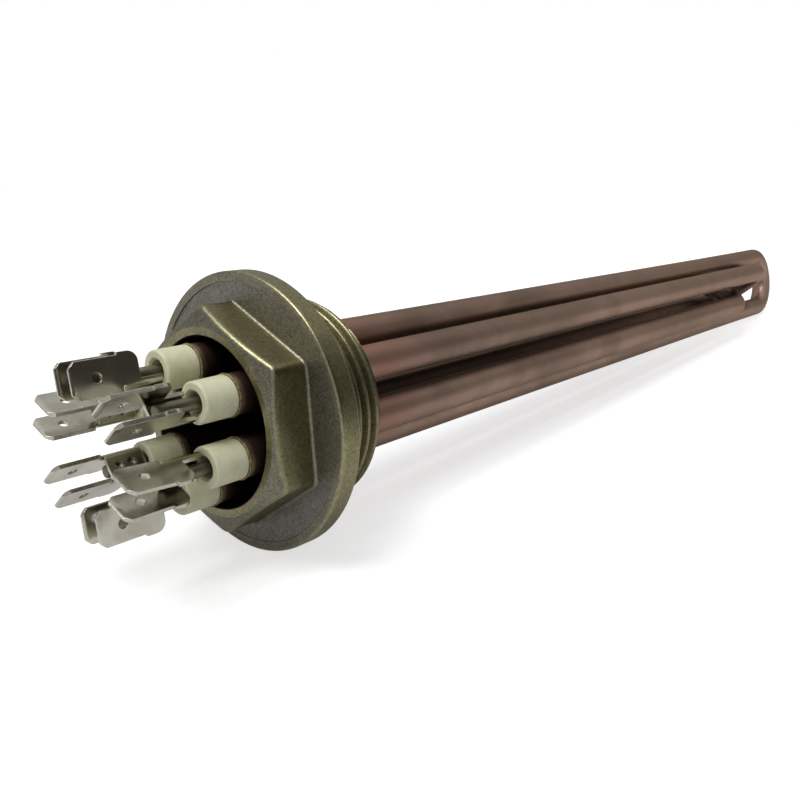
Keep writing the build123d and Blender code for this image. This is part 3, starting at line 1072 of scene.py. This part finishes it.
class FoldedSheet:
    """The middle of a terminal's sheet: flat places (height, distance from the tip) and folds."""

    def __init__(self, sizes):
        self.sizes = sizes
        self.fold_length = sizes.fold_radius * np.pi / 2
        self.total = TERMINAL_ROOT - TAB_TIP
        self.arc_height = sizes.tab_width + sizes.shoulder_height - sizes.shoulder_radius
        self.shoulder_end = sizes.shoulder_place + sizes.shoulder_length
        self.arc_place = self.shoulder_end - sizes.shoulder_radius
        step = (sizes.tab_width - self.arc_height) / sizes.shoulder_radius
        self.arc_shares = np.concatenate([np.linspace(0, step, 7), [(1 + step) / 2, 1.0]])
        fold = np.linspace(0, self.fold_length, 5)
        low = [0.5 * (self.fold_length + sizes.tail_height), sizes.tail_height]
        middle = np.linspace(sizes.tail_height, self.arc_height, 5)[1:-1]
        upper = self.arc_height + self.arc_shares * sizes.shoulder_radius
        self.rows = np.concatenate([fold, low, middle, upper])
        self.tab_rows = self.rows[:-2]
        self.low_rows = self.rows[: len(fold) + len(low)]
        self.rows_over_fold = self.rows[len(fold) - 1 :]

    def plate(self, side, height, distance, folded=False):
        """A flat place on one plate in the terminal's own axes.

        Above the fold, a point stands at half the tab spacing from the middle. In the fold, a
        point at height h is turned by (fold length - h) / fold radius round the fold's middle.
        """
        sizes = self.sizes
        fold_middle = -sizes.web_distance + sizes.fold_radius + sizes.sheet / 2
        outwards = fold_middle + height - self.fold_length
        sideways = sizes.tab_spacing / 2
        if folded:
            turn = np.maximum(self.fold_length - height, 0) / sizes.fold_radius
            bent = fold_middle - sizes.fold_radius * np.sin(turn)
            outwards = np.where(turn > 0, bent, outwards)
            sideways = sideways - sizes.fold_radius * (1 - np.cos(turn))
        return coordinates(outwards, side * sideways, TAB_TIP + distance)

    def tip(self, side):
        """The tab's tip, narrowed by its two cut corners, and where it ends."""
        sizes = self.sizes
        distance = np.array([0, 0.5, 1.0, 1.35, 1.75]) * sizes.tip_chamfer
        cut = np.maximum(sizes.tip_chamfer - distance, 0)
        height = cut + self.tab_rows[:, None] * (sizes.tab_width - 2 * cut) / sizes.tab_width
        return self.plate(side, height, distance), distance[-1]

    def holed(self, side, start, end):
        """The part of a tab round its hole: the hole's circle blended into a rectangle."""
        sizes = self.sizes
        between = np.linspace(start, end, 9)[1:-1]
        sides = [
            coordinates(self.tab_rows, start),
            coordinates(sizes.tab_width, between),
            coordinates(self.tab_rows[::-1], end),
            coordinates(0, between[::-1]),
        ]
        rim = np.concatenate(sides)
        middle = np.array([sizes.tab_width / 2, sizes.tab_hole_place])
        hole = middle + sizes.tab_hole_radius * unit(rim - middle)
        flat = np.stack([hole * (1 - t) + rim * t for t in (0.0, 0.12, 0.45, 1.0)])
        return self.plate(side, flat[..., 0], flat[..., 1])

    def web(self, columns):
        """The web between the plates, and how hot each place was.

        The dimple of a weld is its depth times the squared cosine of the distance from it, and
        the heat is a bell curve round the middle of both welds.
        """
        sizes = self.sizes
        half = sizes.tab_spacing / 2 - sizes.fold_radius
        across = np.linspace(-half, half, 19)[:, None]
        from_welds = columns - (self.total + sizes.web_place) / 2
        heat = np.exp(-((across / (2.2 * MM)) ** 2) - (from_welds / (2.8 * MM)) ** 2)
        outwards = sizes.sheet / 2 - sizes.web_distance
        for place in (-sizes.weld_spacing / 2, sizes.weld_spacing / 2):
            away = np.minimum(np.hypot(across, from_welds - place) / sizes.weld_radius, 1)
            outwards = outwards + sizes.weld_depth * np.cos(away * np.pi / 2) ** 2
        return patch(coordinates(outwards, across, TAB_TIP + columns), heat=heat)

    def patches(self):
        """All patches of the sheet's middle surface. The mark coin is where a tip is thinner."""
        sizes = self.sizes
        notch_start = sizes.web_place - sizes.notch
        notch_end = sizes.web_place + sizes.notch
        before_arc = np.linspace(notch_end, self.arc_place, 5)
        in_arc = self.arc_place + self.arc_shares * sizes.shoulder_radius
        tail = np.linspace(self.shoulder_end, self.total, 19)
        below_arc = self.rows[self.rows <= self.arc_height + WELD_DISTANCE]
        made = []
        for side in (1, -1):
            tip, start = self.tip(side)
            end = 2 * sizes.tab_hole_place - start
            made.append(patch(tip, coin=np.array([[1.0, 0, 0, 0, 0]])))
            made.append(patch(self.holed(side, start, end), wrap_columns=True))
            blocks = [
                (self.tab_rows, np.linspace(end, sizes.shoulder_place, 4), False),
                (self.rows, np.array([sizes.shoulder_place, notch_start]), False),
                (self.rows_over_fold, np.array([notch_start, notch_end]), False),
                (self.rows, before_arc, True),
                (below_arc, in_arc, True),
                (self.low_rows, tail, True),
            ]
            for rows, columns, folded in blocks:
                made.append(patch(self.plate(side, rows[:, None], columns, folded)))
            turn = np.linspace(0, np.pi / 2, 11)
            reach = self.arc_shares[:, None] * sizes.shoulder_radius
            height = self.arc_height + reach * np.cos(turn)
            made.append(patch(self.plate(side, height, self.arc_place + reach * np.sin(turn))))
        made.append(self.web(np.concatenate([before_arc, in_arc[1:], tail[1:]])))
        return made


def bend_tab(points, sizes):
    """Bends one tab outwards: past the shoulder a point moves sideways by tan(angle) * s * s /
    (s + one sheet), with s its distance from the shoulder."""
    outwards, sideways, along = np.moveaxis(points, -1, 0)
    past = np.maximum(TAB_TIP + sizes.shoulder_place - along, 0)
    shift = math.tan(sizes.bent_tab) * past**2 / (past + sizes.sheet)
    return coordinates(outwards, sideways - shift * (sideways < 0), along)


def add_modifiers(piece, sizes):
    """Gives a terminal's middle surface its thickness, thinner at the tips, and soft edges."""
    coin = np.zeros(len(piece.data.vertices))
    piece.data.attributes["coin"].data.foreach_get("value", coin)
    group = piece.vertex_groups.new(name="full thickness")
    group.add(np.flatnonzero(coin < 0.5).tolist(), 1.0, "REPLACE")
    thick = piece.modifiers.new("sheet", "SOLIDIFY")
    thick.thickness = sizes.sheet
    thick.offset = 0.0
    thick.use_even_offset = True
    thick.vertex_group = group.name
    thick.thickness_vertex_group = 0.45
    soft = piece.modifiers.new("soft edges", "BEVEL")
    soft.width = sizes.edge_rounding
    soft.segments = 2
    soft.limit_method = "ANGLE"
    soft.angle_limit = math.radians(SHARP_ANGLE)
    soft.harden_normals = True


# Studio


def add_sheet(name, x, y, z, nodes):
    """A flat sheet of the studio, from the coordinates of a 2 x 2 grid of points."""
    mesh = bpy.data.meshes.new(name)
    points = coordinates(x, y, z).reshape(-1, 3).tolist()
    mesh.from_pydata(points, [], grid_faces(2, 2, False, False).tolist())
    mesh.materials.append(nodes.material)
    sheet = bpy.data.objects.new(name, mesh)
    bpy.context.scene.collection.objects.link(sheet)
    return sheet


def add_floor(studio):
    """A pale floor that touches the flange's rim and the longest hairpin's bend.

    It is white to the camera away from the element, and reflections see it with a painted shadow:
    darker near the element and paler farther away.
    """
    reach = (-3.0, 3.0)
    gap = 0.02 * MM
    flange_place = -2.0 * MM
    bend_place = REACHES[0] - 12.0 * MM
    slope = (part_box("sheath_1")[0].z + FLANGE_RADIUS) / (bend_place - flange_place)
    x, y = np.meshgrid(reach, reach, indexing="ij")
    z = (x - flange_place) * slope - FLANGE_RADIUS - gap
    nodes = Finish(
        "pale floor",
        {
            "Base Color": studio.floor_colour,
            "Roughness": 0.9,
            "Specular IOR Level": 0.0,
            "Emission Color": (1.0, 1.0, 1.0),
        },
    )
    away = nodes.add("VectorMath", {0: nodes.place}, operation="LENGTH").outputs["Value"]
    seen, mirrored = nodes.rays()
    glow = nodes.times(seen, nodes.spread(away, 0.15, 0.60, 0.66, 1.0))
    # Painted shadow: reflections see a weaker glow near the element than farther away
    mirror_glow_painted_shadow = nodes.times(mirrored, nodes.spread(away, 0.03, 0.30, 0.16, 0.38))
    nodes.fill(nodes.shader["Emission Strength"], nodes.maths("MAXIMUM", glow, mirror_glow_painted_shadow))
    add_sheet("floor", x, y, z, nodes)


def add_card(studio):
    """A tall dark card along the right of the element, which only reflections show."""
    nodes = Finish(
        "dark card",
        {
            "Base Color": (0.0, 0.0, 0.0),
            "Specular IOR Level": 0.0,
            "Emission Color": (1.0, 0.93, 0.82),
            "Emission Strength": studio.card_level,
        },
    )
    ends = (-0.10, 0.15)
    edges = (-0.015, 0.26)
    aside = -0.13
    x, z = np.meshgrid(ends, edges, indexing="ij")
    card = add_sheet("dark_card", x, aside, z, nodes)
    card.visible_camera = False
    card.visible_diffuse = False
    card.visible_shadow = False
    card.visible_transmission = False


def set_world(context, studio):
    """White behind the object, and plain surroundings that brighten towards the top."""
    world = bpy.data.worlds.new("studio world")
    context.scene.world = world
    world.use_nodes = True
    world.node_tree.nodes.clear()
    nodes = NodeTree(world.node_tree)
    up = nodes.part(nodes.add("TexCoord").outputs["Generated"], "Z")
    height = nodes.maths("POWER", nodes.maths("MAXIMUM", up, 0.0), 4.0)
    level = nodes.graded(height, studio.horizon_level, 1.0)
    lit, mirror, white = (
        nodes.add("Background", {"Color": tint, "Strength": strength}).outputs[0]
        for tint, strength in ((level, studio.world_level), (level, 1.0), ((1.0, 1.0, 1.0), 1.0))
    )
    seen, mirrored = nodes.rays()
    plain = nodes.add("MixShader", {0: mirrored, 1: lit, 2: mirror}).outputs[0]
    shown = nodes.add("MixShader", {0: seen, 1: plain, 2: white}).outputs[0]
    nodes.add("OutputWorld", {"Surface": shown})


def add_lamp(name, place, target, size, power):
    """A square area lamp that looks at a target."""
    data = bpy.data.lights.new(name, "AREA")
    data.size = size
    data.energy = power
    lamp = bpy.data.objects.new(name, data)
    lamp.location = place
    lamp.rotation_mode = "QUATERNION"
    lamp.rotation_quaternion = (Vector(target) - Vector(place)).to_track_quat("-Z", "Y")
    bpy.context.scene.collection.objects.link(lamp)


def add_lamps(studio):
    """A large lamp above on the left and a weaker one on the right."""
    key = {"place": (-0.42, 0.0, 0.90), "target": (0.05, 0.0, 0.0), "size": 0.50}
    fill = {"place": (-0.10, -0.55, 0.25), "target": (0.1, 0.0, 0.0), "size": 0.40}
    add_lamp("key lamp", power=studio.key_power, **key)
    add_lamp("fill lamp", power=studio.fill_power, **fill)


def add_camera(context, studio):
    """The camera at the photograph's viewing angle."""
    data = bpy.data.cameras.new("camera")
    data.lens = studio.lens
    data.sensor_width = 36.0
    data.clip_start = 0.005
    data.clip_end = 20.0
    camera = bpy.data.objects.new("camera", data)
    forward = Vector(studio.camera_direction).normalized()
    right = forward.cross(Vector((0, 0, 1))).normalized()
    up = right.cross(forward)
    turn = Matrix((right, up, -forward)).transposed()
    camera.matrix_world = Matrix.Translation(Vector(studio.camera_place)) @ turn.to_4x4()
    context.scene.collection.objects.link(camera)
    context.scene.camera = camera


# Operators and panel


class HEATER_OT_head(bpy.types.Operator):
    """Build the forged brass head with its flange, hexagon, hollow and thread"""

    bl_idname = "heater.head"
    bl_label = "Brass head"

    def execute(self, context):
        settings = context.scene.heating_element
        patches = HeadSkin(settings.head, settings.tubes).patches()
        add_piece(
            "brass_head", patches, forged_brass(settings.colours), ["hex_flange"]
        )
        return {"FINISHED"}


class HEATER_OT_tubes(bpy.types.Operator):
    """Build the three copper hairpins and the brazing metal round their legs"""

    bl_idname = "heater.tubes"
    bl_label = "Copper hairpins"

    def execute(self, context):
        settings = context.scene.heating_element
        tubes = settings.tubes
        copper = annealed_copper(settings.colours)
        for number, reach in enumerate(REACHES, start=1):
            patches = hairpin_patches(tubes, number, reach)
            add_piece(f"hairpin_{number}", patches, copper, [f"sheath_{number}"])
        rings = [braze_patch(tubes, number) for number in range(1, LEG_COUNT + 1)]
        braze = brazing_metal(settings.colours)
        add_piece("braze_rings", rings, braze, ["braze_fillets"], sharp=60)
        return {"FINISHED"}


class HEATER_OT_ends(bpy.types.Operator):
    """Build the ceramic beads, seal rings and pins at the six tube ends"""

    bl_idname = "heater.ends"
    bl_label = "Tube ends"

    def execute(self, context):
        settings = context.scene.heating_element
        tubes = settings.tubes
        kinds = [
            ("bead", bead_patch, cream_ceramic(settings.colours), "ceramic_bushing", "steatite"),
            ("seal", seal_patch, brown_seal(settings.colours), "end_seal", "seal_ring"),
            ("pin", pin_patch, drawn_pin(settings.colours), "terminal_pin", "pin_nickel"),
        ]
        for name, make, material, node, slot in kinds:
            for number in range(1, LEG_COUNT + 1):
                shape = [make(tubes, number)]
                add_piece(f"{name}_{number}", shape, material, [f"{node}_{number}"])
        return {"FINISHED"}


class HEATER_OT_terminals(bpy.types.Operator):
    """Build the six folded double tab terminals"""

    bl_idname = "heater.terminals"
    bl_label = "Tab terminals"

    def execute(self, context):
        settings = context.scene.heating_element
        sizes = settings.terminals
        nickel = nickel_plate(settings.colours)
        sheet = FoldedSheet(sizes)
        for number in range(1, LEG_COUNT + 1):
            patches = sheet.patches()
            for item in patches:
                local = item["points"]
                if number == BENT_TERMINAL:
                    local = bend_tab(local, sizes)
                item["points"] = at_leg(local, settings.tubes, number)
            piece = add_piece(
                f"tabs_{number}",
                patches,
                nickel,
                [f"tab_terminal_{number}"],
                closed=False,
            )
            add_modifiers(piece, sizes)
        return {"FINISHED"}


class HEATER_OT_inside(bpy.types.Operator):
    """Give the magnesia and the coils inside the tubes their finish"""

    bl_idname = "heater.inside"
    bl_label = "Inside the tubes"

    def execute(self, context):
        colours = context.scene.heating_element.colours
        magnesia = inner_material("pressed magnesia", colours.magnesia, 0.0, 2500.0)
        wire = inner_material("resistance wire", colours.wire, 1.0, 1800.0)
        for number in (1, 2, 3):
            for node, material in (("magnesia_core", magnesia), ("heating_coil", wire)):
                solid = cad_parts[f"{node}_{number}"]
                for holder in solid.material_slots:
                    holder.material = material
        return {"FINISHED"}


class HEATER_OT_studio(bpy.types.Operator):
    """Set up the floor, the surroundings, the lamps and the camera"""

    bl_idname = "heater.studio"
    bl_label = "Studio"

    def execute(self, context):
        studio = context.scene.heating_element.studio
        add_floor(studio)
        add_card(studio)
        set_world(context, studio)
        add_lamps(studio)
        add_camera(context, studio)
        context.scene.view_settings.view_transform = "Standard"
        return {"FINISHED"}


class HEATER_PT_panel(bpy.types.Panel):
    """Lists the heating element's steps in the sidebar"""

    bl_idname = "HEATER_PT_panel"
    bl_label = "Heating element"
    bl_space_type = "VIEW_3D"
    bl_region_type = "UI"
    bl_category = "Heating element"

    def draw(self, context):
        settings = context.scene.heating_element
        for operator in OPERATORS:
            self.layout.operator(operator.bl_idname)
        for name in HeatingElement.__annotations__:
            group = getattr(settings, name)
            box = self.layout.box()
            for setting in group.__annotations__:
                box.prop(group, setting)


OPERATORS = (
    HEATER_OT_head,
    HEATER_OT_tubes,
    HEATER_OT_ends,
    HEATER_OT_terminals,
    HEATER_OT_inside,
    HEATER_OT_studio,
)
GROUPS = (HeadSizes, TubeSizes, TerminalSizes, FinishColours, StudioSettings, HeatingElement)


def register():
    """Registers the classes and puts the settings on the scene."""
    for item in GROUPS + OPERATORS + (HEATER_PT_panel,):
        bpy.utils.register_class(item)
    bpy.types.Scene.heating_element = PointerProperty(type=HeatingElement)


def unregister():
    """Takes the settings and the classes away again."""
    del bpy.types.Scene.heating_element
    for item in reversed(GROUPS + OPERATORS + (HEATER_PT_panel,)):
        bpy.utils.unregister_class(item)


def main():
    """Builds everything in order."""
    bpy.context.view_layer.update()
    register()
    bpy.ops.heater.head()
    bpy.ops.heater.tubes()
    bpy.ops.heater.ends()
    bpy.ops.heater.terminals()
    bpy.ops.heater.inside()
    bpy.ops.heater.studio()


if __name__ == "__main__":
    main()
